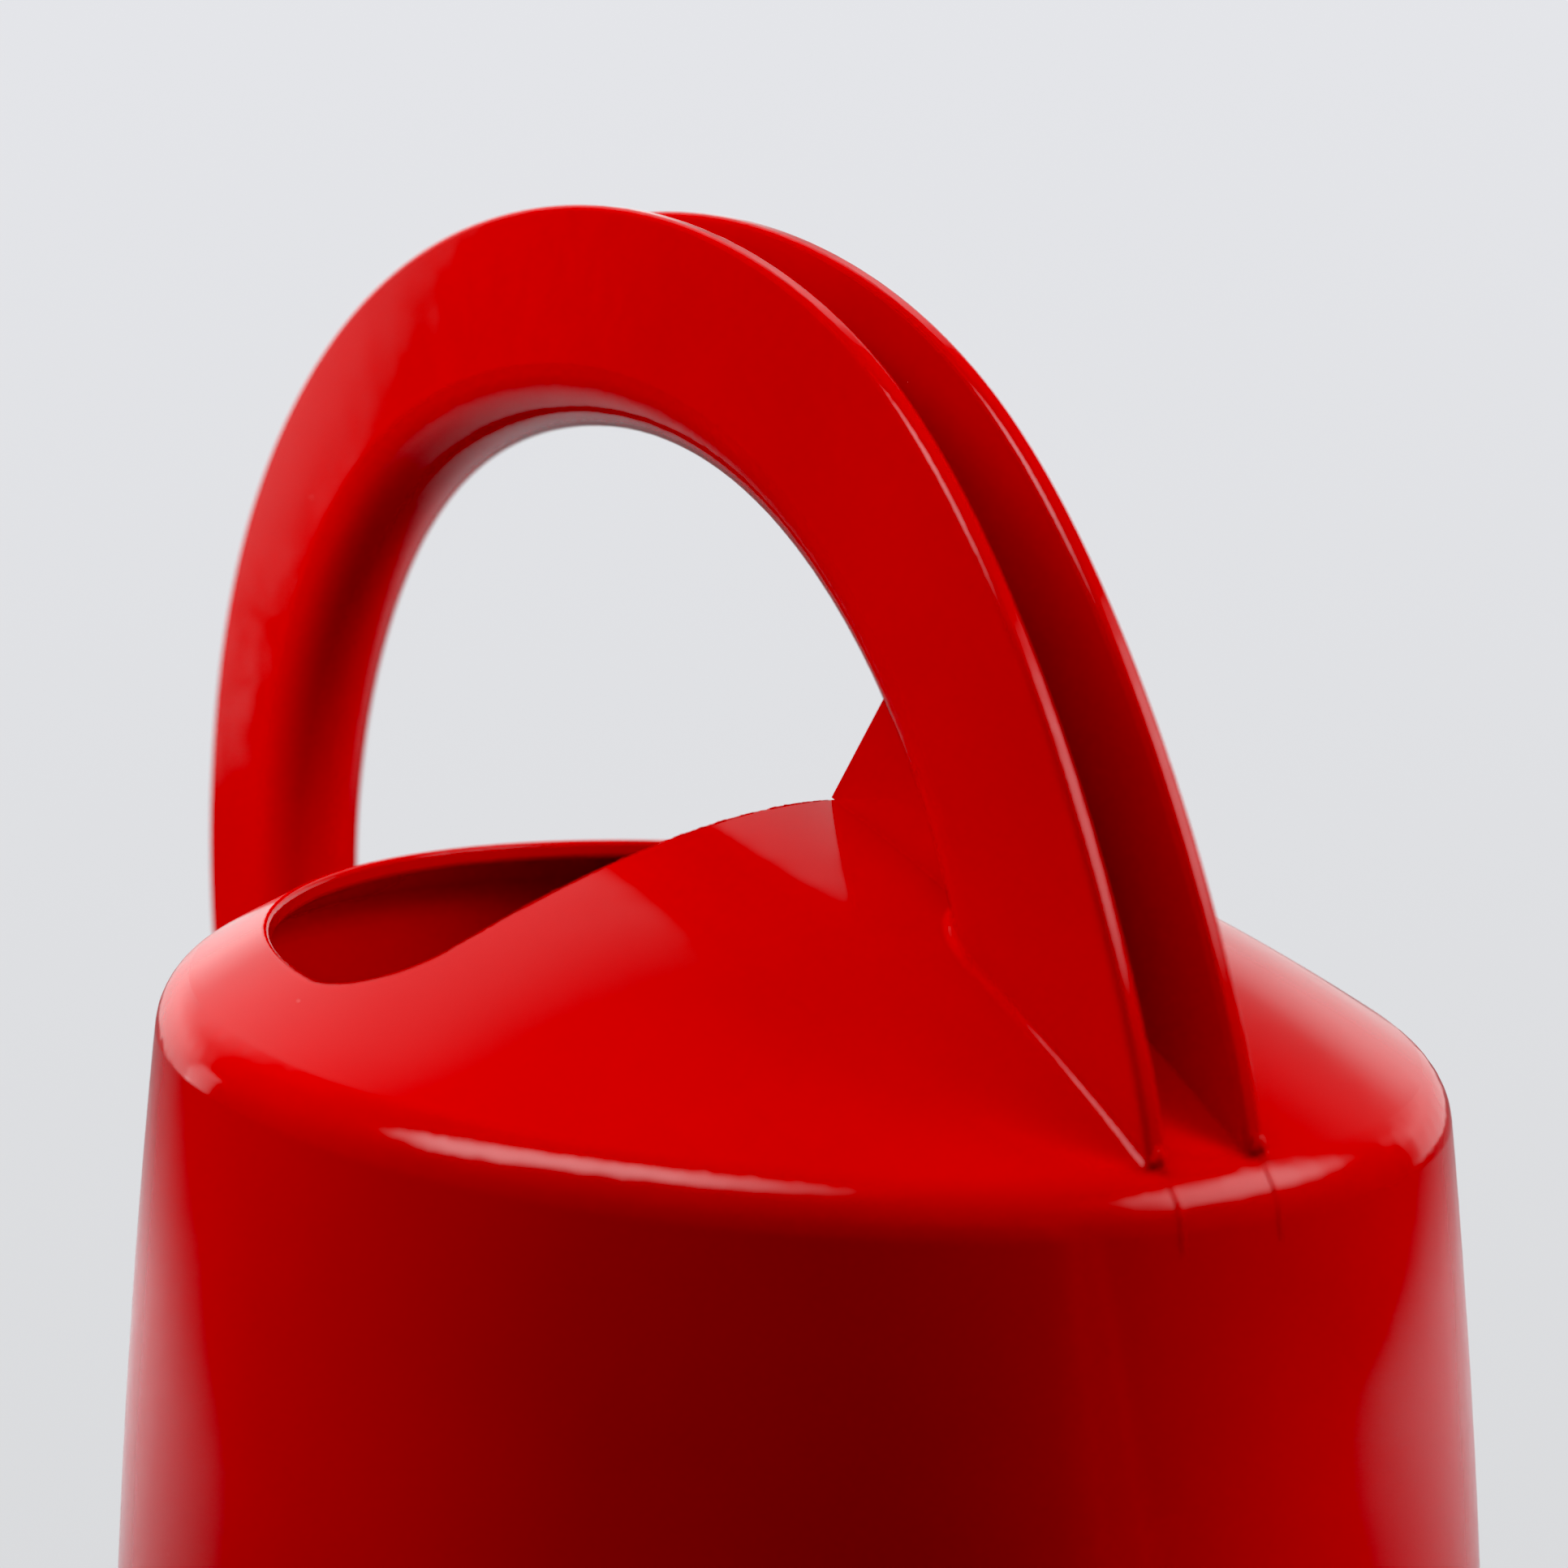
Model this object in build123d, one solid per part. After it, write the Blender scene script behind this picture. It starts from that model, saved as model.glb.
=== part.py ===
from build123d import *
from math import cos, radians, sin, sqrt
import os

# A watering can. The origin is the centre of its foot on the ground, +X is the
# front, where the spout is, and +Z is up. Everything is symmetric about XZ.

# ---- Tank ----
RIM_RADIUS = 80.0
RIM_HEIGHT = 132.0  # on the tank's two sides
RIM_ROUND = 8.0
FOOT_RADIUS = 86.0
WALL_TOP_RADIUS = 73.9
WALL_TOP = 176.0
WALL_BULGE = 3.3
SKIN = 2.5

# The shoulder is turned about an upright axis behind the tank's own, so it is high at the back and
# low in front. Its arc's centre lies beyond that axis; the point this makes is over the mouth.
SHOULDER_AXIS = -16.3
SHOULDER_RADIUS = 288.6
SHOULDER_CENTRE = (-72.8, -112.0)
SHOULDER_REACH = (0.0, 60.0, 120.0)

# ---- Filling mouth: the rear half of the shoulder ----
MOUTH_RADIUS = 65.5
MOUTH_FRONT = 8.7
MOUTH_CORNER = 12.0
MOUTH_EDGE_ROUND = 0.7

# ---- Floor ----
FLOOR_RADIUS = 84.0
FLOOR_HEIGHT = 9.0
FLOOR_SKIN = 2.5
FLOOR_RECESS = 3.5
FLOOR_RECESS_RADIUS = 76.0

# ---- Handle ----
HANDLE_WIDTH = 16.6
HANDLE_SKIN = 2.8
TOUCH = 0.01  # closer than this is touching
LIP_ROUND = 0.8
FOOT_ROUND = 1.0
FOOT_EDGE_REACH = 1.0  # the foot's long edges lie this close to its middle or its sides
GUSSET_THICKNESS = 2.4

# Side views, (x, z): the outer edge of the flanges and the centre of the
# half-round web. Both start inside the shoulder and end inside the rear wall.
FLANGE_LINE = (
    (76.9, 116), (76.7, 124.5), (72.9, 139), (53.5, 179.2), (29.5, 208), (-1.9, 226.6), (-55.9, 236.5),
    (-110.9, 223.4), (-145.4, 191), (-157.9, 142), (-145.9, 92), (-113.9, 59), (-71.9, 46),
)
WEB_LINE = (
    (49.3, 132), (30.4, 176), (1.5, 201.4), (-55.9, 215.6), (-110.9, 198.8), (-134.9, 165),
    (-137.9, 122), (-111.9, 81), (-67.9, 64),
)
GUSSET_TOE = (8.8, 159.4)
GUSSET_TOP = (24.0, 176.9)

# ---- Spout ----
SPOUT_ANGLE = 25.0  # degrees above level at the root
SPOUT_ROOT = (82.0, 0.0, 34.0)
SOCKET_RADIUS = 19.0
SOCKET_LENGTH = 20.0
SOCKET_DEPTH = 20.0  # how far its cylinder starts inside the wall
SOCKET_BORE = 14.5
SOCKET_BLEND = 3.0
PLUG_CLEARANCE = 0.08
PLUG_LENGTH = 18.0
PLUG_BORE = 11.5
COLLAR_THICKNESS = 3.0
SPOUT_RADIUS = 13.7
SPOUT_SKIN = 2.2
SPOUT_MIDDLE = (163.0, 0.0, 106.0)
SPOUT_END = (226.0, 0.0, 156.0)
TIP_ANGLE = 34.0  # degrees above level at the tip
TIP_RADIUS = 7.0
TIP_LENGTH = 24.0
STOP_RADIUS = 8.6
STOP_LENGTH = 2.0

# ---- Seal ----
SEAL_SECTION = 1.2
SEAL_CLEARANCE = 0.05
SEAL_FROM_COLLAR = 9.0

# ---- Sprinkler head ----
SLEEVE_RADIUS = 9.5
SLEEVE_FLANGE_RADIUS = 12.0
SLEEVE_FLANGE = 2.0
RUNNING_GAP = 0.07
NECK_RADIUS = 12.0
NECK_LENGTH = 18.0
FUNNEL_LENGTH = 30.0
FUNNEL_LIFT = 9.0
FACE_TILT = 38.0  # degrees between the neck and the face's own axis
FACE_RADIUS = 26.0
FACE_RIM = 4.0
ROSE_SKIN = 1.8
PLATE_THICKNESS = 2.0
HOLE_RADIUS = 0.8
HOLE_RINGS = 5
HOLE_PITCH = 4.4


def shoulder_block(inset):
    """All that lies under the shoulder, which is drawn in by inset."""
    centre_x, centre_z = SHOULDER_CENTRE
    arc = [(x, centre_z + sqrt((SHOULDER_RADIUS - inset) ** 2 - (x - centre_x) ** 2)) for x in SHOULDER_REACH]
    first, _, last = arc
    outline = ThreePointArc(*arc) + Polyline(last, (last[0], 0), (first[0], 0), first)
    return Pos(SHOULDER_AXIS, 0, 0) * revolve(Plane.XZ * make_face(outline), Axis.Z)


def tank_block(inset):
    """The tank's outline, drawn in by inset: a bulging wall under the shoulder."""
    foot = (FOOT_RADIUS - inset, 0)
    top = (WALL_TOP_RADIUS - inset, WALL_TOP)
    outline = SagittaArc(foot, top, -WALL_BULGE) + Polyline(top, (0, WALL_TOP), (0, 0), foot)
    block = revolve(Plane.YZ * make_face(outline), Axis.Z) & shoulder_block(inset)
    rim = block.edges().filter_by(
        lambda edge: edge.center().Z > RIM_HEIGHT / 2 and edge.length > RIM_RADIUS
    )
    return fillet(rim, RIM_ROUND - inset)


def at_spout_root(distance):
    """A plane square to the spout's root axis, this far out from the wall."""
    out = Vector(cos(radians(SPOUT_ANGLE)), 0, sin(radians(SPOUT_ANGLE)))
    return Plane(Vector(*SPOUT_ROOT) + out * distance, x_dir=(0, 1, 0), z_dir=out)


def rod(plane, radius, length):
    """A cylinder that stands on the plane."""
    return extrude(plane * Circle(radius), length)


def mouth_cutter():
    """A half disc, straight in front and round behind, standing through the shoulder."""
    box = Pos(MOUTH_FRONT - MOUTH_RADIUS, 0) * Rectangle(2 * MOUTH_RADIUS, 2 * MOUTH_RADIUS)
    half = Circle(MOUTH_RADIUS) & box
    corners = half.vertices().filter_by(lambda corner: corner.X > MOUTH_FRONT / 2)
    return extrude(Pos(0, 0, RIM_HEIGHT) * fillet(corners, MOUTH_CORNER), WALL_TOP - RIM_HEIGHT)


def make_tank_shell():
    cavity = tank_block(SKIN)
    socket = rod(at_spout_root(-SOCKET_DEPTH), SOCKET_RADIUS, SOCKET_LENGTH + SOCKET_DEPTH)
    shell = tank_block(0) + socket
    junction = shell.edges().filter_by(
        lambda edge: edge.geom_type == GeomType.BSPLINE and 0 < edge.center().Z < RIM_HEIGHT / 2
    )
    shell = fillet(junction, SOCKET_BLEND)
    shell -= cavity
    shell -= rod(at_spout_root(-SOCKET_DEPTH), SOCKET_BORE, 2 * SOCKET_LENGTH + SOCKET_DEPTH)
    shell -= Cylinder(FLOOR_RADIUS, FLOOR_HEIGHT, align=(Align.CENTER, Align.CENTER, Align.MIN))
    mouth = mouth_cutter()
    shell -= mouth
    lips = shell.edges().filter_by(lambda edge: mouth.distance_to(edge @ 0.5) < TOUCH)
    return fillet(lips.filter_by(Axis.Z, reverse=True), MOUTH_EDGE_ROUND)


def side_view(points):
    """A smooth curve in the middle plane through (x, z) points."""
    return Spline([Vector(x, 0, z) for x, z in points])


def handle_slab(width, outer, inner):
    """A flat slab centred on the middle plane, between the flange line and the web line."""
    closing = Line(outer @ 0, inner @ 0) + Line(outer @ 1, inner @ 1)
    face = make_face(outer + inner + closing)
    return extrude(face, width / 2, both=True, dir=(0, 1, 0))


def web_tube(line, radius):
    """The round stock that the hand side of the channel follows."""
    section = Plane(line @ 0, x_dir=(0, 1, 0), z_dir=line % 0) * Circle(radius)
    return sweep(section, path=line)


def gusset():
    """A thin upright fin from the crest of the shoulder to the front leg."""
    inside, web = (Vector(x, 0, z) for x, z in WEB_LINE[:2])
    toe, top = (Vector(x, 0, z) for x, z in (GUSSET_TOE, GUSSET_TOP))
    below = Vector(toe.X, 0, RIM_HEIGHT)
    outline = Polyline(toe, top, web, inside, below, toe)
    return extrude(make_face(outline), GUSSET_THICKNESS / 2, both=True, dir=(0, 1, 0))


def with_foot_rounds(piece, ground):
    """The piece cut off at the ground's surface, with a small round down each side of its feet."""
    foot, surface = (piece - ground).shell(), ground.shell()

    def is_side_of_foot(edge):
        middle = edge @ 0.5
        touching = surface.distance_to(middle) < TOUCH and foot.distance_to(middle) < TOUCH
        return touching and not FOOT_EDGE_REACH < abs(middle.Y) < HANDLE_WIDTH / 2 - FOOT_EDGE_REACH

    joined = piece + ground
    return fillet(joined.edges().filter_by(is_side_of_foot), FOOT_ROUND) - ground


def make_carry_handle():
    outer, inner = side_view(FLANGE_LINE), side_view(WEB_LINE)
    inner_width = HANDLE_WIDTH - 2 * HANDLE_SKIN
    tank = tank_block(0)
    handle = handle_slab(HANDLE_WIDTH, outer, inner) + web_tube(inner, HANDLE_WIDTH / 2)
    handle = with_foot_rounds(handle, tank)
    handle -= handle_slab(inner_width, outer, inner) + web_tube(inner, inner_width / 2)
    handle += gusset() - tank - web_tube(inner, HANDLE_WIDTH / 2 - HANDLE_SKIN / 2)
    lips = handle.edges().filter_by(
        lambda edge: edge.length > 2 * RIM_RADIUS
        and outer.distance_to(edge @ 0.5) < HANDLE_WIDTH / 2 + TOUCH
    )
    return fillet(lips, LIP_ROUND)


def make_base_plate():
    floor = Cylinder(FLOOR_RADIUS, FLOOR_HEIGHT, align=(Align.CENTER, Align.CENTER, Align.MIN))
    under = Cylinder(FLOOR_RECESS_RADIUS, FLOOR_RECESS, align=(Align.CENTER, Align.CENTER, Align.MIN))
    above = Pos(0, 0, FLOOR_RECESS + FLOOR_SKIN) * Cylinder(
        FLOOR_RADIUS - 2 * FLOOR_SKIN, FLOOR_HEIGHT, align=(Align.CENTER, Align.CENTER, Align.MIN)
    )
    return floor - under - above


def spout_path():
    start = at_spout_root(SOCKET_LENGTH + COLLAR_THICKNESS)
    tip_way = Vector(cos(radians(TIP_ANGLE)), 0, sin(radians(TIP_ANGLE)))
    return Spline([start.origin, Vector(*SPOUT_MIDDLE), Vector(*SPOUT_END)], tangents=[start.z_dir, tip_way])


def at_tip(distance):
    """A plane square to the spout's tip axis, this far beyond the end of the taper."""
    out = Vector(cos(radians(TIP_ANGLE)), 0, sin(radians(TIP_ANGLE)))
    return Plane(Vector(*SPOUT_END) + out * distance, x_dir=(0, 1, 0), z_dir=out)


def tapered_tube(root_radius, tip_radius):
    path = spout_path()
    root = Plane(path @ 0, x_dir=(0, 1, 0), z_dir=path % 0) * Circle(root_radius)
    tip = Plane(path @ 1, x_dir=(0, 1, 0), z_dir=path % 1) * Circle(tip_radius)
    return sweep([root, tip], path=path, multisection=True)


def seal_ring():
    centre = at_spout_root(SOCKET_LENGTH - SEAL_FROM_COLLAR)
    return centre.location * Torus(SOCKET_BORE - SEAL_CLEARANCE - SEAL_SECTION, SEAL_SECTION)


def make_spout_tube():
    plug_radius = SOCKET_BORE - PLUG_CLEARANCE
    spout = tapered_tube(SPOUT_RADIUS, TIP_RADIUS)
    spout += rod(at_spout_root(SOCKET_LENGTH), SOCKET_RADIUS, COLLAR_THICKNESS)
    spout += rod(at_spout_root(SOCKET_LENGTH - PLUG_LENGTH), plug_radius, PLUG_LENGTH)
    spout += rod(at_tip(0), TIP_RADIUS, TIP_LENGTH)
    spout += rod(at_tip(0), STOP_RADIUS, STOP_LENGTH)
    spout -= tapered_tube(PLUG_BORE, TIP_RADIUS - SPOUT_SKIN)
    spout -= rod(at_spout_root(SOCKET_LENGTH - PLUG_LENGTH), PLUG_BORE, PLUG_LENGTH + COLLAR_THICKNESS)
    spout -= rod(at_tip(0), TIP_RADIUS - SPOUT_SKIN, TIP_LENGTH)
    return spout - seal_ring()


def make_rose_sleeve():
    start = STOP_LENGTH
    sleeve = rod(at_tip(start), SLEEVE_RADIUS, TIP_LENGTH - start)
    sleeve += rod(at_tip(start), SLEEVE_FLANGE_RADIUS, SLEEVE_FLANGE)
    return sleeve - rod(at_tip(start), TIP_RADIUS + RUNNING_GAP, TIP_LENGTH - start)


def face_plane(distance):
    """A plane square to the sprinkler face's own axis, which leans up from the neck's."""
    end = at_tip(STOP_LENGTH + SLEEVE_FLANGE + NECK_LENGTH + FUNNEL_LENGTH)
    centre = end.origin + end.y_dir * FUNNEL_LIFT
    angle = TIP_ANGLE + FACE_TILT
    out = Vector(cos(radians(angle)), 0, sin(radians(angle)))
    return Plane(centre + out * distance, x_dir=(0, 1, 0), z_dir=out)


def funnel(inset):
    neck_end = at_tip(STOP_LENGTH + SLEEVE_FLANGE + NECK_LENGTH)
    return loft([neck_end * Circle(NECK_RADIUS - inset), face_plane(0) * Circle(FACE_RADIUS - inset)])


def make_rose_shell():
    neck_start = at_tip(STOP_LENGTH + SLEEVE_FLANGE + RUNNING_GAP)
    shell = rod(neck_start, NECK_RADIUS, NECK_LENGTH - RUNNING_GAP) + funnel(0)
    shell += rod(face_plane(0), FACE_RADIUS, FACE_RIM)
    shell -= rod(neck_start, SLEEVE_RADIUS + RUNNING_GAP, NECK_LENGTH)
    shell -= funnel(ROSE_SKIN)
    return shell - rod(face_plane(0), FACE_RADIUS - ROSE_SKIN, FACE_RIM)


def make_rose_plate():
    top = face_plane(FACE_RIM - PLATE_THICKNESS)
    plate = rod(top, FACE_RADIUS - ROSE_SKIN, PLATE_THICKNESS)
    places = [(0, 0)]
    for ring in range(1, HOLE_RINGS):
        places += [Vector(ring * HOLE_PITCH, 0).rotate(Axis.Z, 60 / ring * step) for step in range(6 * ring)]
    holes = Sketch() + [Pos(*place) * Circle(HOLE_RADIUS) for place in places]
    return plate - extrude(top * holes, PLATE_THICKNESS)


PIECES = {
    "tank_shell": make_tank_shell,
    "carry_handle": make_carry_handle,
    "base_plate": make_base_plate,
    "spout_tube": make_spout_tube,
    "spout_seal": seal_ring,
    "rose_sleeve": make_rose_sleeve,
    "rose_shell": make_rose_shell,
    "rose_plate": make_rose_plate,
}

os.makedirs("parts", exist_ok=True)
for name, make in PIECES.items():
    export_step(make(), f"parts/{name}.step")
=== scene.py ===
import math

import bmesh
import bpy
from mathutils import Matrix, Vector
from mathutils.bvhtree import BVHTree
from mathutils.noise import noise as noise_value


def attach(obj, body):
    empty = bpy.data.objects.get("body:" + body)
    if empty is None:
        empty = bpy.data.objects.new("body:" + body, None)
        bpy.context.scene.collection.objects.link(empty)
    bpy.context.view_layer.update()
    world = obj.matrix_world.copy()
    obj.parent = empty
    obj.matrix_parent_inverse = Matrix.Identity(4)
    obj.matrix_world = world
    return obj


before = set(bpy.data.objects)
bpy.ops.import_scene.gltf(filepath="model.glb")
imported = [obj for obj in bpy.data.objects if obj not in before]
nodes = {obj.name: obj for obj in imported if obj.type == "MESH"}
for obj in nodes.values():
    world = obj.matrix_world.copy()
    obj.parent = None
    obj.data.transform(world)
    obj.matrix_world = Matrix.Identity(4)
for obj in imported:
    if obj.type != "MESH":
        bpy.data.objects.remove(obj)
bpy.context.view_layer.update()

# ---- Camera, as a place and two angles in degrees ----
CAMERA_PLACE = Vector((0.3361, -0.2320, 0.1850))
CAMERA_AZIMUTH = 55.64
CAMERA_ELEVATION = 3.415
CAMERA_LENS = 75.1
CAMERA_SENSOR = 36.0
FOCUS_POINT = (0, 0, 0.160)
APERTURE = 15.0
CAMERA_CLIP = (0.01, 50)
STUDIO_CENTRE = Vector((0, 0, 0.13))

# ---- Colours, linear ----
BLACK_LEVEL = 0.04  # the studio picture's contrast: anything darker than this is black
RED = (0.56, 0.0012, 0.0016)
RED_DEEP = (0.44, 0.0008, 0.0010)
RED_WORN = (0.62, 0.012, 0.012)
RED_ROUGHNESS = 0.12
GREY = (0.20, 0.205, 0.21)
GREY_DEEP = (0.15, 0.155, 0.16)
GREY_WORN = (0.26, 0.265, 0.27)
GREY_ROUGHNESS = 0.38
RUBBER = (0.016, 0.016, 0.017)
RUBBER_DUSTY = (0.045, 0.043, 0.041)
SPECK = (0.62, 0.34, 0.32)
PAPER = (0.792, 0.799, 0.830)
PAPER_LOW = (0.712, 0.719, 0.735)
PAPER_LOW_TO_HIGH = (-0.3, 0.2)  # how far up a view points, for the one colour and the other
FLOOR_BOUNCE_BEHIND = 0.80  # share of the paper's colour that the object sees behind itself
FLOOR_BOUNCE = 0.06  # and in front of itself
FLOOR_BOUNCE_RANGE = (-0.45, 0.15)  # metres towards the camera, from the one to the other
CONTACT_REACH = 0.07
CONTACT_SHADE = 0.55
FLOOR_RADIUS = 3.0
FLOOR_DROP = 0.0002

# ---- Surface detail: lengths in metres, noise scales per metre ----
NOISE_MIDDLE = (0.3, 0.7)  # the part of a noise's range that is used
DRIFT_NOISE = (22.0, 2.0)
DRIFT_RANGE = (0.35, 0.65)
DRIFT_SHARE = 0.35
CLOUD_NOISE = (180.0, 4.0)
GRAIN_NOISE = (5200.0, 2.0, 0.6)
WAVE_NOISE = (60.0, 1.0)
DUST_NOISE = (900.0, 5.0)
EDGE_REACH = 0.0006
EDGE_TURN = (0.93, 0.995)  # cosines of a full edge and of flat ground
EDGE_SHARE = 0.35
SPECK_SIZES = (260.0, 0.035, 0.05)  # cells per metre, radius of a dot in cells, share of cells with a dot
SPECK_CORE = 0.6  # share of a dot's radius that is full
SPECK_STEP = 0.01
CLOUD_ROUGHNESS = (-0.03, 0.04)
GRAIN_ROUGHNESS = (-0.015, 0.02)
EDGE_ROUGHNESS = (0.0, 0.06)
WAVE_BUMP = (0.25, 0.00006)  # strength and height
GRAIN_BUMP = (0.10, 0.00002)
DUST_BUMP = (0.3, 0.00003)
DUST_RANGE = (0.45, 0.75)
DUST_SHARE = 0.8
DUST_ROUGHNESS = (0.5, 0.75)
PLASTIC_IOR = 1.49
PAPER_ROUGHNESS = 0.85


# ---------------------------------------------------------------- materials
def new_tree(tree):
    tree.nodes.clear()

    def add(kind, **settings):
        node = tree.nodes.new(kind)
        for key, value in settings.items():
            if key in node.inputs:
                node.inputs[key].default_value = value
            else:
                setattr(node, key, value)
        return node

    def link(source, target):
        tree.links.new(source, target)

    return add, link


def noise(add, link, place, scale, detail=3.0, roughness=0.55):
    node = add("ShaderNodeTexNoise")
    node.inputs["Scale"].default_value = scale
    node.inputs["Detail"].default_value = detail
    node.inputs["Roughness"].default_value = roughness
    link(place, node.inputs["Vector"])
    return node.outputs["Fac"]


def remap(add, link, value, low, high, to_low, to_high):
    node = add("ShaderNodeMapRange")
    node.clamp = True
    for key, number in zip(("From Min", "From Max", "To Min", "To Max"), (low, high, to_low, to_high)):
        node.inputs[key].default_value = number
    link(value, node.inputs["Value"])
    return node.outputs["Result"]


def blend_colour(add, link, share, first, second):
    node = add("ShaderNodeMix", data_type="RGBA")
    colour_inputs = [socket for socket in node.inputs if socket.type == "RGBA"]
    for socket, colour in zip(colour_inputs, (first, second)):
        if isinstance(colour, tuple):
            socket.default_value = (*colour, 1)
        else:
            link(colour, socket)
    link(share, node.inputs["Factor"])
    return [socket for socket in node.outputs if socket.type == "RGBA"][0]


def bumped(add, link, height, size, under=None):
    """A normal disturbed by a height; size is the bump's strength and height in metres."""
    bump = add("ShaderNodeBump")
    bump.inputs["Strength"].default_value, bump.inputs["Distance"].default_value = size
    link(height, bump.inputs["Height"])
    if under:
        link(under, bump.inputs["Normal"])
    return bump.outputs["Normal"]


def worn_edges(add, link):
    """1 where the surface turns sharply, 0 on flat ground."""
    rounded = add("ShaderNodeBevel", samples=4)
    rounded.inputs["Radius"].default_value = EDGE_REACH
    plain = add("ShaderNodeNewGeometry")
    turn = add("ShaderNodeVectorMath", operation="DOT_PRODUCT")
    link(rounded.outputs["Normal"], turn.inputs[0])
    link(plain.outputs["Normal"], turn.inputs[1])
    return remap(add, link, turn.outputs["Value"], *EDGE_TURN, 1.0, 0.0)


def specks(add, link, place):
    """1 on a few tiny dots."""
    scale, radius, share = SPECK_SIZES
    cells = add("ShaderNodeTexVoronoi")
    cells.inputs["Scale"].default_value = scale
    link(place, cells.inputs["Vector"])
    split = add("ShaderNodeSeparateColor")
    link(cells.outputs["Color"], split.inputs[0])
    chosen = remap(add, link, split.outputs[0], 1 - share, 1 - share + SPECK_STEP, 0.0, 1.0)
    dot = remap(add, link, cells.outputs["Distance"], radius * SPECK_CORE, radius, 1.0, 0.0)
    both = add("ShaderNodeMath", operation="MULTIPLY")
    link(chosen, both.inputs[0])
    link(dot, both.inputs[1])
    return both.outputs[0]


def moulded_plastic(name, colour, deep, worn, roughness):
    """A moulded plastic: colour drift, flow waviness, fine sanded-mould grain, worn edges, stray specks."""
    material = bpy.data.materials.new(name)
    material.use_nodes = True
    add, link = new_tree(material.node_tree)
    place = add("ShaderNodeTexCoord").outputs["Object"]
    shader = add("ShaderNodeBsdfPrincipled", IOR=PLASTIC_IOR)
    drift = noise(add, link, place, *DRIFT_NOISE)
    cloud = noise(add, link, place, *CLOUD_NOISE)
    grain = noise(add, link, place, *GRAIN_NOISE)
    wave = noise(add, link, place, *WAVE_NOISE)
    edges = worn_edges(add, link)
    body = blend_colour(add, link, remap(add, link, drift, *DRIFT_RANGE, 0.0, DRIFT_SHARE), colour, deep)
    rubbed = blend_colour(add, link, remap(add, link, edges, 0.0, 1.0, 0.0, EDGE_SHARE), body, worn)
    speckled = blend_colour(add, link, specks(add, link, place), rubbed, SPECK)
    link(speckled, shader.inputs["Base Color"])
    low, high = CLOUD_ROUGHNESS
    rough = remap(add, link, cloud, *NOISE_MIDDLE, roughness + low, roughness + high)
    for value, span, change in ((grain, NOISE_MIDDLE, GRAIN_ROUGHNESS), (edges, (0.0, 1.0), EDGE_ROUGHNESS)):
        total = add("ShaderNodeMath", operation="ADD")
        link(rough, total.inputs[0])
        link(remap(add, link, value, *span, *change), total.inputs[1])
        rough = total.outputs[0]
    link(rough, shader.inputs["Roughness"])
    wavy = bumped(add, link, wave, WAVE_BUMP)
    link(bumped(add, link, grain, GRAIN_BUMP, under=wavy), shader.inputs["Normal"])
    output = add("ShaderNodeOutputMaterial")
    link(shader.outputs["BSDF"], output.inputs["Surface"])
    return material


def rubber(name):
    """Black rubber with a dusty bloom."""
    material = bpy.data.materials.new(name)
    material.use_nodes = True
    add, link = new_tree(material.node_tree)
    place = add("ShaderNodeTexCoord").outputs["Object"]
    shader = add("ShaderNodeBsdfPrincipled")
    dust = noise(add, link, place, *DUST_NOISE)
    bloom = remap(add, link, dust, *DUST_RANGE, 0.0, DUST_SHARE)
    link(blend_colour(add, link, bloom, RUBBER, RUBBER_DUSTY), shader.inputs["Base Color"])
    link(remap(add, link, dust, *NOISE_MIDDLE, *DUST_ROUGHNESS), shader.inputs["Roughness"])
    link(bumped(add, link, dust, DUST_BUMP), shader.inputs["Normal"])
    output = add("ShaderNodeOutputMaterial")
    link(shader.outputs["BSDF"], output.inputs["Surface"])
    return material


red_plastic = moulded_plastic("red_moulded_plastic", RED, RED_DEEP, RED_WORN, RED_ROUGHNESS)
grey_plastic = moulded_plastic("grey_moulded_plastic", GREY, GREY_DEEP, GREY_WORN, GREY_ROUGHNESS)
black_rubber = rubber("black_rubber")

FINISH = {
    "tank_shell": red_plastic,
    "carry_handle": red_plastic,
    "base_plate": red_plastic,
    "spout_tube": red_plastic,
    "spout_seal": black_rubber,
    "rose_sleeve": grey_plastic,
    "rose_shell": red_plastic,
    "rose_plate": grey_plastic,
}
for name, material in FINISH.items():
    for material_slot in nodes[name].material_slots:
        material_slot.material = material


# ---------------------------------------------------------------- moulding marks
TANK_BODY = "tank"
SEAM_HALF_WIDTH = 0.00016
SEAM_HEIGHT = 0.00007
SEAM_DEPTH = 0.00010  # how far a bead's edges reach under the surface
SEAM_GAP = 0.0008  # between points along a seam
BEAD_FADE = 6  # points over which a bead's ends run out
BEAD_SHOULDER = (0.75, 0.5)  # across and up, as shares of a bead's half width and height
LONGEST_GAP = 10  # a path stops at a jump of this many steps

GRIP_CENTRE = Vector((-0.055, 0, 0.140))
GRIP_TURN = (-65.0, 225.0)  # degrees swept round the grip's centre
GRIP_TURN_STEP = 0.25
GRIP_LOWEST = 0.075
GRIP_REACH = 0.12
GUSSET_BACK = 0.010
GUSSET_TOP = 0.178

IN_FRONT = 0.120
FLANGE_MIDDLE = 0.0069  # from the middle plane to the middle of a flange
FOOT_TIP_HEIGHT = 0.1256
FOOT_SEAM_HALF_WIDTH = 0.00030
FOOT_SEAM_HEIGHT = 0.00012
FOOT_SEAM_START = 0.0020  # below the foot's tip
FOOT_SEAM_STEPS = 46
FOOT_SEAM_STEP = 0.00018
FOOT_SEAM_GAP = 0.00015
BULB_RADIUS = 0.0009
BULB_PLACE = (0.0004, 0.0002, -0.0005)  # forward, outward and up from the foot's tip
BULB_TAIL = (-0.35, -0.25, 0.6)  # growth of the drop's upper end along each axis

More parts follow.
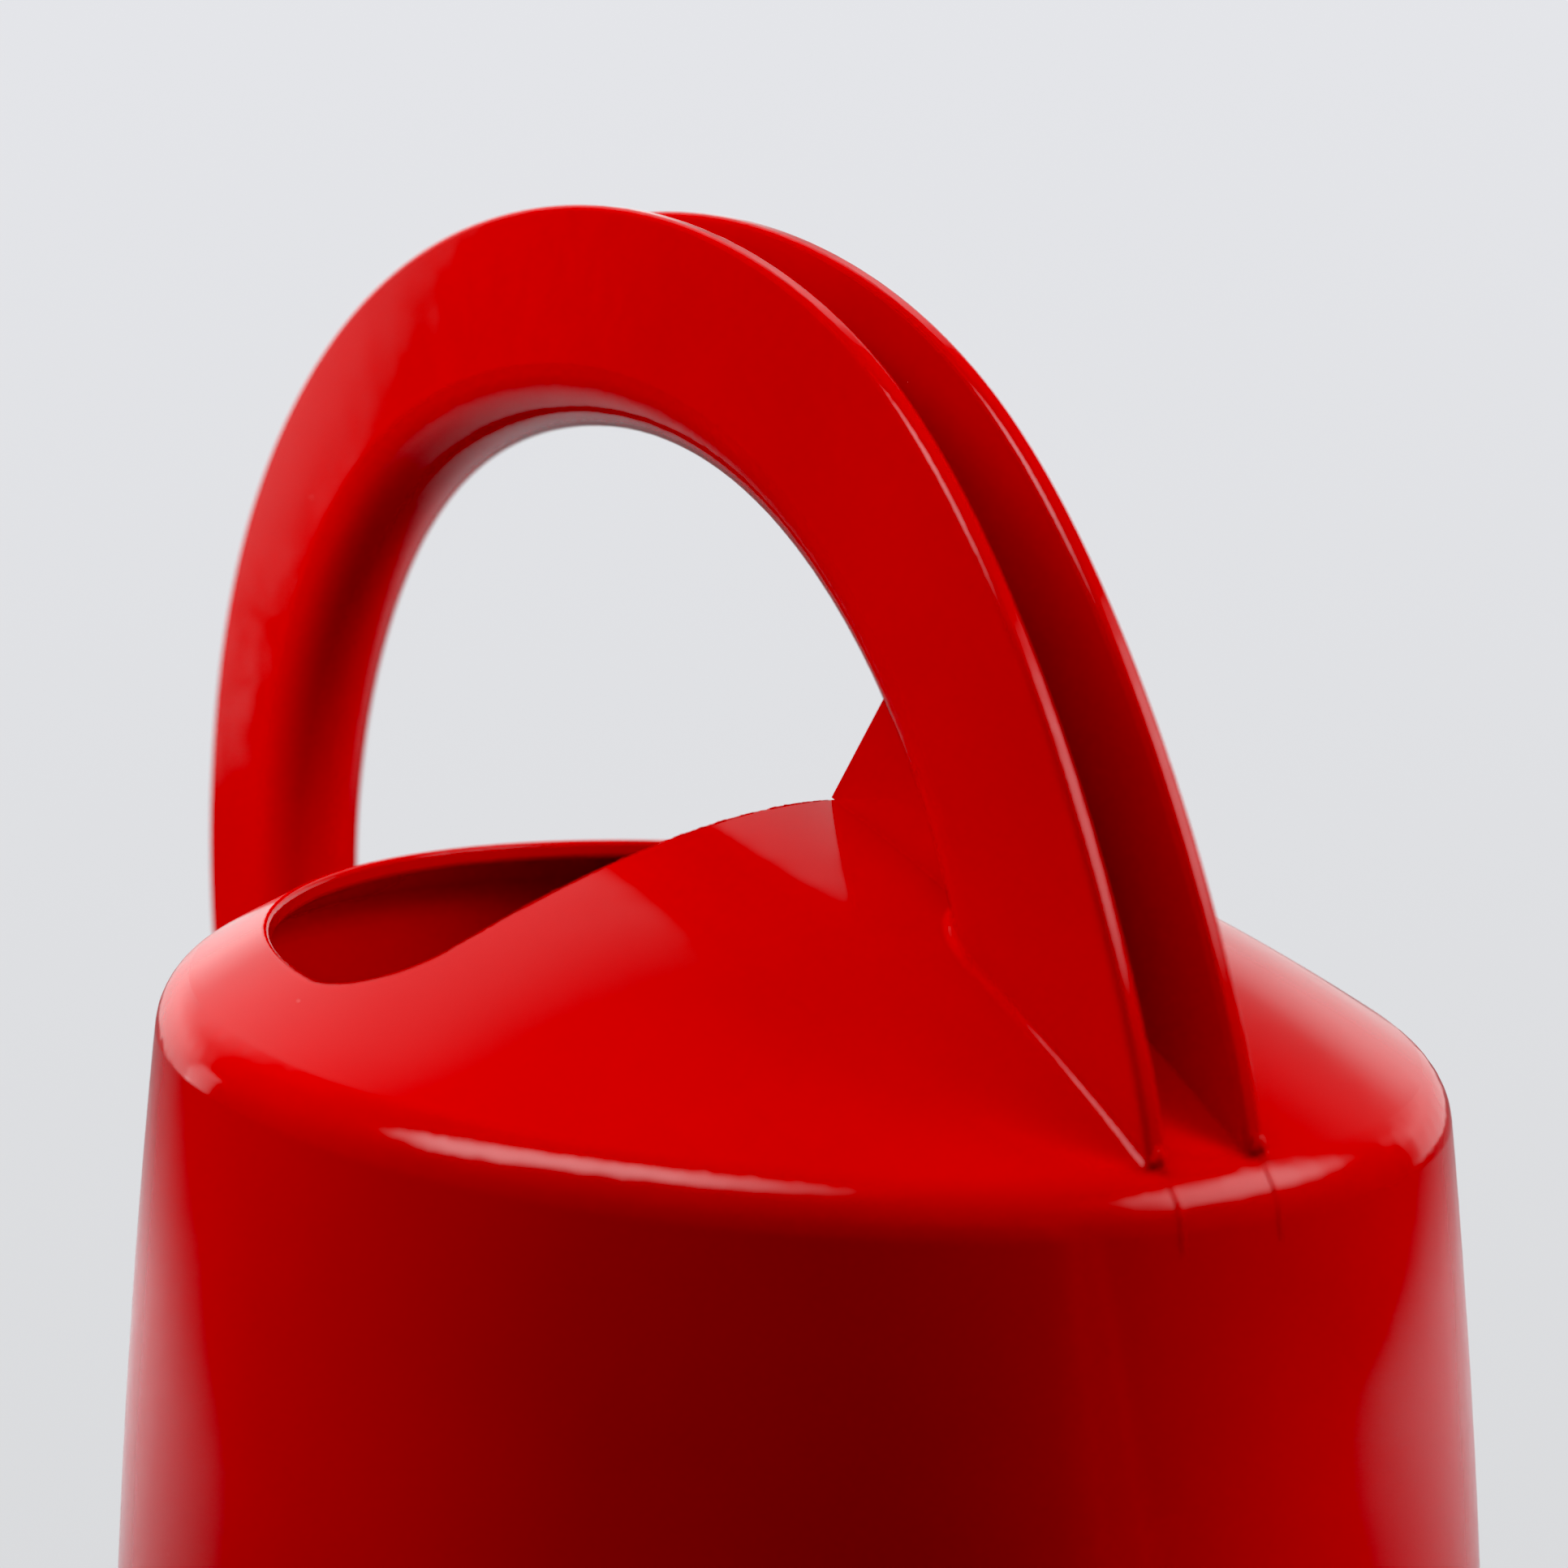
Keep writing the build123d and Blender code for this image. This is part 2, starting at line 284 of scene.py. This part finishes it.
ABOVE = 0.20
MOUTH_FRONT = 0.0087
MOUTH_REACH = 0.047
MOUTH_STEP = 0.0003
MOUTH_MIDDLE = 0.0020  # half the bare stretch where the gusset meets the edge
FLASH_INSET = 0.0006
FLASH_HALF_WIDTH = 0.00014
FLASH_HEIGHT = 0.00018
FLASH_NOISE = ((900, 0.6), (2600, 0.4))  # scale and share
FLASH_MIDDLE = 0.45
FLASH_LEAST = 0.1


def surface_of(node):
    """A ray caster on a CAD node: gives the point and the outward normal that a ray hits first."""
    world = node.matrix_world
    corners = [world @ vertex.co for vertex in node.data.vertices]
    tree = BVHTree.FromPolygons(corners, [tuple(polygon.vertices) for polygon in node.data.polygons])

    def cast(start, way):
        place, normal, _, _ = tree.ray_cast(start, way)
        if place is None:
            return None
        return place, -normal if normal.dot(way) > 0 else normal

    return cast


def even(hits, step):
    """The same path with points at even steps, without long jumps."""
    out = [hits[0]]
    for place, normal in hits[1:]:
        gap = (place - out[-1][0]).length
        if step <= gap < LONGEST_GAP * step:
            out.append((place, normal))
    return out


def bead(name, path, half_width, height):
    """A low rounded ridge along points with normals; height is a number or a function of the point."""
    shape = bmesh.new()
    rings = []
    last = len(path) - 1
    for place, (point, normal) in enumerate(path):
        ahead = path[min(place + 1, last)][0] - path[max(place - 1, 0)][0]
        side = ahead.cross(normal).normalized()
        fade = min(1.0, place / BEAD_FADE, (last - place) / BEAD_FADE)
        top = fade * (height(point) if callable(height) else height)
        wide, low = BEAD_SHOULDER[0], BEAD_SHOULDER[1] * top
        section = ((-1, -SEAM_DEPTH), (-wide, low), (0, top), (wide, low), (1, -SEAM_DEPTH))
        rings.append([
            shape.verts.new(point + side * (half_width * across) + normal * up) for across, up in section
        ])
    for first, second in zip(rings, rings[1:]):
        for corner in range(len(first)):
            after = (corner + 1) % len(first)
            shape.faces.new((first[corner], first[after], second[after], second[corner]))
    shape.faces.new(rings[0][::-1])
    shape.faces.new(rings[-1])
    bmesh.ops.recalc_face_normals(shape, faces=shape.faces)
    finish_piece(name, shape)


def finish_piece(name, shape):
    """Turn a shape into a red piece that moves with the tank."""
    mesh = bpy.data.meshes.new(name)
    shape.to_mesh(mesh)
    shape.free()
    for polygon in mesh.polygons:
        polygon.use_smooth = True
    mesh.materials.append(red_plastic)
    piece = bpy.data.objects.new(name, mesh)
    bpy.context.scene.collection.objects.link(piece)
    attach(piece, TANK_BODY)


def side_label(side):
    """Which side a piece is on: the can's left is +Y."""
    return "left" if side > 0 else "right"


def web_seam():
    """The line where the mould's halves met, along the hand side of the handle."""
    cast = surface_of(nodes["carry_handle"])
    hits = []
    first, last = (round(turn / GRIP_TURN_STEP) for turn in GRIP_TURN)
    for step in range(first, last):
        angle = math.radians(step * GRIP_TURN_STEP)
        hit = cast(GRIP_CENTRE, Vector((math.cos(angle), 0, math.sin(angle))))
        if hit and hit[0].z > GRIP_LOWEST and (hit[0] - GRIP_CENTRE).length < GRIP_REACH:
            hits.append(hit)
    gusset_clear = [hit for hit in hits if hit[0].x < GUSSET_BACK or hit[0].z > GUSSET_TOP]
    bead("web_seam", even(gusset_clear, SEAM_GAP), SEAM_HALF_WIDTH, SEAM_HEIGHT)


def foot_seam(side):
    """From a foot's tip down over the rim to the wall."""
    cast = surface_of(nodes["tank_shell"])
    hits = []
    for step in range(FOOT_SEAM_STEPS):
        height = FOOT_TIP_HEIGHT - FOOT_SEAM_START - step * FOOT_SEAM_STEP
        hit = cast(Vector((IN_FRONT, side * FLANGE_MIDDLE, height)), Vector((-1, 0, 0)))
        if hit:
            hits.append(hit)
    path = even(hits, FOOT_SEAM_GAP)
    bead(f"foot_seam_{side_label(side)}", path, FOOT_SEAM_HALF_WIDTH, FOOT_SEAM_HEIGHT)


def foot_bulb(side):
    """The round drop of plastic at the foot's tip, long along the flange's edge."""
    cast = surface_of(nodes["carry_handle"])
    tip, _ = cast(Vector((IN_FRONT, side * FLANGE_MIDDLE, FOOT_TIP_HEIGHT)), Vector((-1, 0, 0)))
    forward, outward, up = BULB_PLACE
    centre = tip + Vector((forward, side * outward, up))
    shape = bmesh.new()
    bmesh.ops.create_icosphere(shape, subdivisions=4, radius=BULB_RADIUS)
    for vertex in shape.verts:
        tail = max(0.0, vertex.co.z / BULB_RADIUS)
        for axis, growth in enumerate(BULB_TAIL):
            vertex.co[axis] *= 1 + growth * tail
        vertex.co += centre
    finish_piece(f"foot_bulb_{side_label(side)}", shape)


def flash_height(point):
    """How tall the ragged thread stands at a point."""
    rough = sum(noise_value(point * scale) * share for scale, share in FLASH_NOISE)
    return FLASH_HEIGHT * max(FLASH_LEAST, FLASH_MIDDLE + rough)


def mouth_flash():
    """A ragged thread of flash along the mouth's straight front edge."""
    cast = surface_of(nodes["tank_shell"])
    hits = []
    steps = int(MOUTH_REACH / MOUTH_STEP)
    for step in range(-steps, steps + 1):
        across = step * MOUTH_STEP
        hit = cast(Vector((MOUTH_FRONT + FLASH_INSET, across, ABOVE)), Vector((0, 0, -1)))
        if hit and abs(across) > MOUTH_MIDDLE:
            hits.append(hit)
    for side in (1, -1):
        part = [hit for hit in hits if hit[0].y * side > 0]
        bead(f"mouth_flash_{side_label(side)}", part, FLASH_HALF_WIDTH, flash_height)


web_seam()
for side in (-1, 1):
    foot_seam(side)
    foot_bulb(side)
mouth_flash()


# ---------------------------------------------------------------- studio
def directions():
    """The camera's right, up and back."""
    azimuth, elevation = math.radians(CAMERA_AZIMUTH), math.radians(CAMERA_ELEVATION)
    back = Vector((
        math.sin(azimuth) * math.cos(elevation), -math.cos(azimuth) * math.cos(elevation), math.sin(elevation)
    ))
    right = Vector((math.cos(azimuth), math.sin(azimuth), 0))
    return right, back.cross(right), back


RIGHT, UP, BACK = directions()
LEVEL = Vector((BACK.x, BACK.y, 0)).normalized()


def make_camera():
    """The camera, focused on the handle's place whatever way the object is turned."""
    data = bpy.data.cameras.new("camera")
    data.lens, data.sensor_width = CAMERA_LENS, CAMERA_SENSOR
    data.clip_start, data.clip_end = CAMERA_CLIP
    data.dof.use_dof = True
    focus = bpy.data.objects.new("focus", None)
    focus.location = FOCUS_POINT
    bpy.context.scene.collection.objects.link(focus)
    data.dof.focus_object = focus
    data.dof.aperture_fstop = APERTURE
    camera = bpy.data.objects.new("camera", data)
    camera.matrix_world = Matrix.Translation(CAMERA_PLACE) @ Matrix((RIGHT, UP, BACK)).transposed().to_4x4()
    bpy.context.scene.collection.objects.link(camera)
    bpy.context.scene.camera = camera


# name: place from the studio's centre towards the camera, to its right and up, width, height, radiance and
# whether the light also shows as a highlight
SOFT_BOXES = {
    "overhead_strip": (0.29, -0.38, 0.60, 1.14, 0.36, 5.2, True),
    "right_box": (0.05, 0.68, 0.47, 0.86, 0.42, 2.7, True),
    "left_streak": (-0.08, -0.62, 0.50, 0.36, 0.30, 3.0, False),
    "rear_left_panel": (-0.45, -0.62, 0.40, 0.85, 0.55, 1.0, False),
    "left_near": (0.03, -0.30, 0.36, 0.25, 0.25, 8.0, False),
    "left_rear": (-0.35, -0.40, 0.30, 0.30, 0.30, 4.3, False),
    "left_side": (-0.05, -0.52, 0.18, 0.40, 0.40, 4.6, False),
    "right_near": (0.0, 0.45, 0.30, 0.25, 0.25, 6.2, False),
    "right_side": (-0.06, 0.68, 0.18, 0.30, 0.40, 15.5, False),
    "top_box": (0.0, 0.0, 0.70, 0.50, 0.50, 3.1, False),
    "front_fill": (0.70, 0.0, 0.25, 0.50, 0.40, 1.3, False),
}

SOFT_BOX_MIDDLE = (0.5, 0.5, 0)
SOFT_BOX_FADE = (0.20, 0.50)  # shares of a box's width, from its middle, where it dims from full to dark

# Bright patches of the room as the object sees them: azimuth from and to, elevation from and to, radiance,
# the degrees over which the patch fades out, and how much its sides lean, in degrees of azimuth for each
# degree of elevation. Azimuth is measured from the camera's side towards its right.
ROOM = {
    "sweep_left": (-195, -121, -30, 24, 0.75, 10.0, 0),
    "sweep_right": (124, 195, -30, 24, 0.83, 10.0, 0),
    "panel_right": (118, 172, 12, 52, 0.38, 10.0, 0),
    "panel_left": (-131, -119.5, -1.5, 14, 0.9, 2.0, 0.5),
    "panel_left_low": (-131, -121.3, -12, -0.5, 1.8, 0.6, 0.2),
    "behind_left": (-220, -112, -4, 84, 0.75, 30.0, 0),
    "behind_right": (150, 210, 14, 74, 0.70, 20.0, 0),
}


def soft_box(name, near, right, up, width, height, radiance, highlight):
    """A soft box that faces the object, its long side level, brightest at its middle."""
    data = bpy.data.lights.new(name, "AREA")
    data.shape, data.size, data.size_y = "RECTANGLE", width, height
    data.energy = radiance * width * height * math.pi
    data.use_nodes = True
    add, link = new_tree(data.node_tree)
    place = add("ShaderNodeNewGeometry").outputs["Parametric"]
    middle = add("ShaderNodeVectorMath", operation="SUBTRACT")
    link(place, middle.inputs[0])
    middle.inputs[1].default_value = SOFT_BOX_MIDDLE
    split = add("ShaderNodeSeparateXYZ")
    link(middle.outputs[0], split.inputs[0])
    strength = add("ShaderNodeMath", operation="MULTIPLY")
    for axis, socket in zip("XY", strength.inputs):
        distance = add("ShaderNodeMath", operation="ABSOLUTE")
        link(split.outputs[axis], distance.inputs[0])
        link(remap(add, link, distance.outputs[0], *SOFT_BOX_FADE, 1.0, 0.0), socket)
    emission = add("ShaderNodeEmission")
    link(strength.outputs[0], emission.inputs["Strength"])
    output = add("ShaderNodeOutputLight")
    link(emission.outputs[0], output.inputs["Surface"])
    light = bpy.data.objects.new(name, data)
    offset = LEVEL * near + RIGHT * right + Vector((0, 0, up))
    long_side = RIGHT if abs(near) > abs(right) or up > abs(right) else LEVEL
    away = (offset - long_side * offset.dot(long_side)).normalized()
    turn = Matrix((long_side, away.cross(long_side), away)).transposed().to_4x4()
    light.matrix_world = Matrix.Translation(STUDIO_CENTRE + offset) @ turn
    light.visible_camera = False
    light.visible_glossy = highlight
    bpy.context.scene.collection.objects.link(light)


def make_world():
    """Pale paper to the camera. The object itself sees a bright sweep behind it and a dark front."""
    world = bpy.data.worlds.new("studio")
    bpy.context.scene.world = world
    world.use_nodes = True
    add, link = new_tree(world.node_tree)
    way = add("ShaderNodeTexCoord").outputs["Generated"]
    split = add("ShaderNodeSeparateXYZ")
    link(way, split.inputs[0])

    def math_node(operation, *values):
        node = add("ShaderNodeMath", operation=operation)
        for socket, value in zip(node.inputs, values):
            if isinstance(value, (int, float)):
                socket.default_value = value
            else:
                link(value, socket)
        return node.outputs[0]

    def along(axis):
        node = add("ShaderNodeVectorMath", operation="DOT_PRODUCT")
        link(way, node.inputs[0])
        node.inputs[1].default_value = axis
        return node.outputs["Value"]

    azimuth = math_node("DEGREES", math_node("ARCTAN2", along(RIGHT), along(LEVEL)))
    elevation = math_node("DEGREES", math_node("ARCSINE", split.outputs["Z"]))
    total = 0.0
    for left, right, low, high, radiance, fade, lean in ROOM.values():
        upright = math_node("SUBTRACT", azimuth, math_node("MULTIPLY", elevation, lean))
        edges = (
            remap(add, link, upright, left, left + fade, 0.0, 1.0),
            remap(add, link, upright, right - fade, right, 1.0, 0.0),
            remap(add, link, elevation, low, low + fade, 0.0, 1.0),
            remap(add, link, elevation, high - fade, high, 1.0, 0.0),
        )
        patch = radiance
        for edge in edges:
            patch = math_node("MULTIPLY", patch, edge)
        total = math_node("ADD", total, patch)
    seen = paper_colour(add, link, split.outputs["Z"])
    path = add("ShaderNodeLightPath")
    hidden, shown = add("ShaderNodeBackground"), add("ShaderNodeBackground")
    link(total, hidden.inputs["Color"])
    link(seen, shown.inputs["Color"])
    mix = add("ShaderNodeMixShader")
    link(path.outputs["Is Camera Ray"], mix.inputs[0])
    link(hidden.outputs[0], mix.inputs[1])
    link(shown.outputs[0], mix.inputs[2])
    output = add("ShaderNodeOutputWorld")
    link(mix.outputs[0], output.inputs["Surface"])


def paper_colour(add, link, height):
    """The backdrop's colour in a view direction, given how far it points up."""
    return blend_colour(add, link, remap(add, link, height, *PAPER_LOW_TO_HIGH, 1.0, 0.0), PAPER, PAPER_LOW)


def make_floor():
    """A round sheet of pale paper, as bright as the backdrop behind it, with a soft contact shade."""
    mesh = bpy.data.meshes.new("floor")
    shape = bmesh.new()
    bmesh.ops.create_circle(shape, cap_ends=True, segments=96, radius=FLOOR_RADIUS)
    shape.to_mesh(mesh)
    shape.free()
    floor = bpy.data.objects.new("floor", mesh)
    floor.location.z = -FLOOR_DROP
    bpy.context.scene.collection.objects.link(floor)
    material = bpy.data.materials.new("pale_paper")
    material.use_nodes = True
    add, link = new_tree(material.node_tree)
    place = add("ShaderNodeTexCoord").outputs["Object"]
    paper = add("ShaderNodeBsdfPrincipled", Roughness=PAPER_ROUGHNESS)
    depth = add("ShaderNodeVectorMath", operation="DOT_PRODUCT")
    link(place, depth.inputs[0])
    depth.inputs[1].default_value = LEVEL
    share = (*FLOOR_BOUNCE_RANGE, FLOOR_BOUNCE_BEHIND, FLOOR_BOUNCE)
    bright = remap(add, link, depth.outputs["Value"], *share)
    link(blend_colour(add, link, bright, (0, 0, 0), PAPER), paper.inputs["Base Color"])
    look = add("ShaderNodeSeparateXYZ")
    link(add("ShaderNodeNewGeometry").outputs["Incoming"], look.inputs[0])
    down = remap(add, link, look.outputs["Z"], -1.0, 1.0, 1.0, -1.0)
    contact = add("ShaderNodeAmbientOcclusion", samples=8)
    contact.inputs["Distance"].default_value = CONTACT_REACH
    shade = remap(add, link, contact.outputs["AO"], 0.0, 1.0, CONTACT_SHADE, 1.0)
    seen = add("ShaderNodeEmission")
    link(paper_colour(add, link, down), seen.inputs["Color"])
    link(shade, seen.inputs["Strength"])
    path = add("ShaderNodeLightPath")
    mix = add("ShaderNodeMixShader")
    link(path.outputs["Is Camera Ray"], mix.inputs[0])
    link(paper.outputs[0], mix.inputs[1])
    link(seen.outputs[0], mix.inputs[2])
    output = add("ShaderNodeOutputMaterial")
    link(mix.outputs[0], output.inputs["Surface"])
    mesh.materials.append(material)


make_camera()
make_world()
make_floor()
for name, box in SOFT_BOXES.items():
    soft_box(name, *box)
colour = bpy.context.scene.view_settings
colour.view_transform = "Standard"
colour.use_curve_mapping = True
colour.curve_mapping.black_level = (BLACK_LEVEL,) * 3
bpy.context.scene.cycles.use_denoising = True
